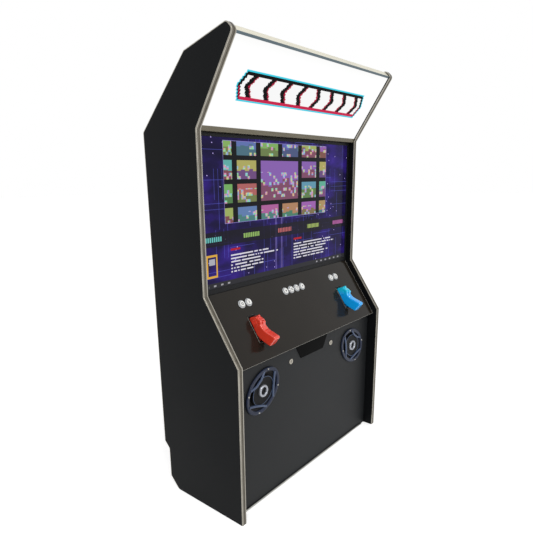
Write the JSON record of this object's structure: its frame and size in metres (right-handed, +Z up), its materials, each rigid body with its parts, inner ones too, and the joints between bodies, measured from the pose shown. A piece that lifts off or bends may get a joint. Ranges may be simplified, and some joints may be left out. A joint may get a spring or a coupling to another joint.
{
  "type": "arcade cabinet",
  "caption": "Upright arcade cabinet with full-width screen, lit marquee, sloping deck with push buttons and holstered light guns, locked front panel with speakers, and a rear service door.",
  "frame": {"origin": "on the floor, under the middle of the width and of the side panels' depth, on the base board's underside", "axes": "+Z up, the screen faces -Y, +X to the right of someone standing in front of the screen"},
  "size_m": [1.012, 0.448, 1.6982],
  "materials": {
    "black_laminate": "matte charcoal laminate",
    "chrome_trim": "ribbed bright trim",
    "black_board": "black melamine board",
    "raw_wood": "plain softwood",
    "opal_acrylic": "back-lit opal white",
    "bronze_aluminium": "anodised strip",
    "white_board": "white reflector",
    "led_strip": "diffused light strip",
    "screen_glass": "glossy display",
    "black_plastic": "fine satin moulding",
    "dark_steel": "powder coated",
    "black_acrylic": "polished black",
    "clear_plastic": "translucent white",
    "white_plastic": "glossy white",
    "red_plastic": "glossy red",
    "blue_plastic": "glossy blue",
    "front_laminate": "satin charcoal",
    "zinc_steel": "zinc plated",
    "nickel": "nickel plated",
    "blue_grey_plastic": "satin blue grey",
    "cone_paper": "black treated cone",
    "magnet_steel": "dark ferrite and plate",
    "grey_rubber": "solid tyre",
    "switch_plastic": "black switch body",
    "power_red": "red rocker"
  },
  "bodies": {
    "cabinet": {"left_side_panel": "black_laminate", "right_side_panel": "black_laminate", "left_edge_trim": "chrome_trim", "right_edge_trim": "chrome_trim", "base_board": "black_board", "lower_rear_panel": "black_board", "upper_rear_panel": "black_board", "rear_slope_panel": "black_board", "top_board": "black_board", "wood_battens": "raw_wood", "marquee_panel": "opal_acrylic", "marquee_retainers": "bronze_aluminium", "marquee_light_board": "white_board", "marquee_led_strips": "led_strip", "screen_panel": "screen_glass", "screen_bezel": "black_plastic", "screen_rear_case": "black_plastic", "screen_bracket": "dark_steel", "control_board": "black_board", "control_overlay": "black_acrylic", "button_housings": "clear_plastic", "button_nuts": "white_plastic", "button_switches": "switch_plastic", "left_holster": "black_plastic", "right_holster": "black_plastic", "front_hinge_fixed_leaf": "zinc_steel", "power_inlet": "black_plastic", "castor_brackets": "zinc_steel", "computer_case": "dark_steel", "amplifier": "dark_steel"},
    "front_panel": {"front_panel": "front_laminate", "front_hinge_door_leaf": "zinc_steel", "name_plate": "black_acrylic", "lock_barrels": "nickel", "speaker_grilles": "blue_grey_plastic", "speaker_baskets": "black_plastic", "speaker_cones": "cone_paper", "speaker_motors": "magnet_steel", "speaker_screws": "nickel"},
    "left_lock": {"left_lock_plug": "nickel"},
    "right_lock": {"right_lock_plug": "nickel"},
    "rear_door": {"rear_door": "black_board", "rear_lock_barrel": "nickel"},
    "rear_lock": {"rear_lock_plug": "nickel"},
    "left_gun": {"left_gun": "red_plastic"},
    "left_trigger": {"left_trigger": "red_plastic"},
    "right_gun": {"right_gun": "blue_plastic"},
    "right_trigger": {"right_trigger": "blue_plastic"},
    "power_rocker": {"power_rocker": "power_red"},
    "left_castor_wheel": {"left_castor_wheel": "grey_rubber"},
    "right_castor_wheel": {"right_castor_wheel": "grey_rubber"},
    "button_1": {"button_1": "white_plastic"},
    "button_2": {"button_2": "white_plastic"},
    "button_3": {"button_3": "white_plastic"},
    "button_4": {"button_4": "white_plastic"},
    "button_5": {"button_5": "white_plastic"},
    "button_6": {"button_6": "white_plastic"},
    "button_7": {"button_7": "white_plastic"},
    "button_8": {"button_8": "white_plastic"}
  },
  "joints": [
    {"name": "button_1_press", "type": "slide", "parent": "cabinet", "child": "button_1", "axis": [0, 0.8271, -0.5621], "range_m": [0, 0.003], "stiffness_N_per_m": 300, "springref_m": -0.003},
    {"name": "button_2_press", "type": "slide", "parent": "cabinet", "child": "button_2", "axis": [0, 0.8271, -0.5621], "range_m": [0, 0.003], "stiffness_N_per_m": 300, "springref_m": -0.003},
    {"name": "button_3_press", "type": "slide", "parent": "cabinet", "child": "button_3", "axis": [0, 0.8271, -0.5621], "range_m": [0, 0.003], "stiffness_N_per_m": 300, "springref_m": -0.003},
    {"name": "button_4_press", "type": "slide", "parent": "cabinet", "child": "button_4", "axis": [0, 0.8271, -0.5621], "range_m": [0, 0.003], "stiffness_N_per_m": 300, "springref_m": -0.003},
    {"name": "button_5_press", "type": "slide", "parent": "cabinet", "child": "button_5", "axis": [0, 0.8271, -0.5621], "range_m": [0, 0.003], "stiffness_N_per_m": 300, "springref_m": -0.003},
    {"name": "button_6_press", "type": "slide", "parent": "cabinet", "child": "button_6", "axis": [0, 0.8271, -0.5621], "range_m": [0, 0.003], "stiffness_N_per_m": 300, "springref_m": -0.003},
    {"name": "button_7_press", "type": "slide", "parent": "cabinet", "child": "button_7", "axis": [0, 0.8271, -0.5621], "range_m": [0, 0.003], "stiffness_N_per_m": 300, "springref_m": -0.003},
    {"name": "button_8_press", "type": "slide", "parent": "cabinet", "child": "button_8", "axis": [0, 0.8271, -0.5621], "range_m": [0, 0.003], "stiffness_N_per_m": 300, "springref_m": -0.003},
    {"name": "left_gun_lift", "type": "slide", "parent": "cabinet", "child": "left_gun", "axis": [0, -0.8271, 0.5621], "range_m": [0, 0.16]},
    {"name": "left_trigger_pull", "type": "hinge", "parent": "left_gun", "child": "left_trigger", "pos_m": [-0.307, -0.10483, 0.69272], "axis": [-1, 0, 0], "range_deg": [0, 12], "stiffness_Nm_per_rad": 0.4, "springref_deg": -8.59},
    {"name": "right_gun_lift", "type": "slide", "parent": "cabinet", "child": "right_gun", "axis": [0, -0.8271, 0.5621], "range_m": [0, 0.16]},
    {"name": "right_trigger_pull", "type": "hinge", "parent": "right_gun", "child": "right_trigger", "pos_m": [0.307, -0.10483, 0.69272], "axis": [-1, 0, 0], "range_deg": [0, 12], "stiffness_Nm_per_rad": 0.4, "springref_deg": -8.59},
    {"name": "front_panel_tilt", "type": "hinge", "parent": "cabinet", "child": "front_panel", "pos_m": [0, -0.1731, 0.0056], "axis": [1, 0, 0], "range_deg": [0, 80]},
    {"name": "left_lock_turn", "type": "hinge", "parent": "front_panel", "child": "left_lock", "pos_m": [-0.147, -0.1695, 0.534], "axis": [0, 1, 0], "range_deg": [0, 90]},
    {"name": "right_lock_turn", "type": "hinge", "parent": "front_panel", "child": "right_lock", "pos_m": [0.147, -0.1695, 0.534], "axis": [0, -1, 0], "range_deg": [0, 90]},
    {"name": "rear_door_tilt", "type": "hinge", "parent": "cabinet", "child": "rear_door", "pos_m": [0, 0.2065, 0.21], "axis": [-1, 0, 0], "range_deg": [0, 60]},
    {"name": "rear_lock_turn", "type": "hinge", "parent": "rear_door", "child": "rear_lock", "pos_m": [0, 0.2115, 0.876], "axis": [0, 1, 0], "range_deg": [0, 90]},
    {"name": "power_switch_rock", "type": "hinge", "parent": "cabinet", "child": "power_rocker", "pos_m": [0.38, 0.1815, 0.141], "axis": [-1, 0, 0], "range_deg": [0, 16]},
    {"name": "left_castor_roll", "type": "hinge", "parent": "cabinet", "child": "left_castor_wheel", "pos_m": [-0.43, 0.1675, 0.0265], "axis": [1, 0, 0], "continuous": true},
    {"name": "right_castor_roll", "type": "hinge", "parent": "cabinet", "child": "right_castor_wheel", "pos_m": [0.43, 0.1675, 0.0265], "axis": [1, 0, 0], "continuous": true}
  ]
}
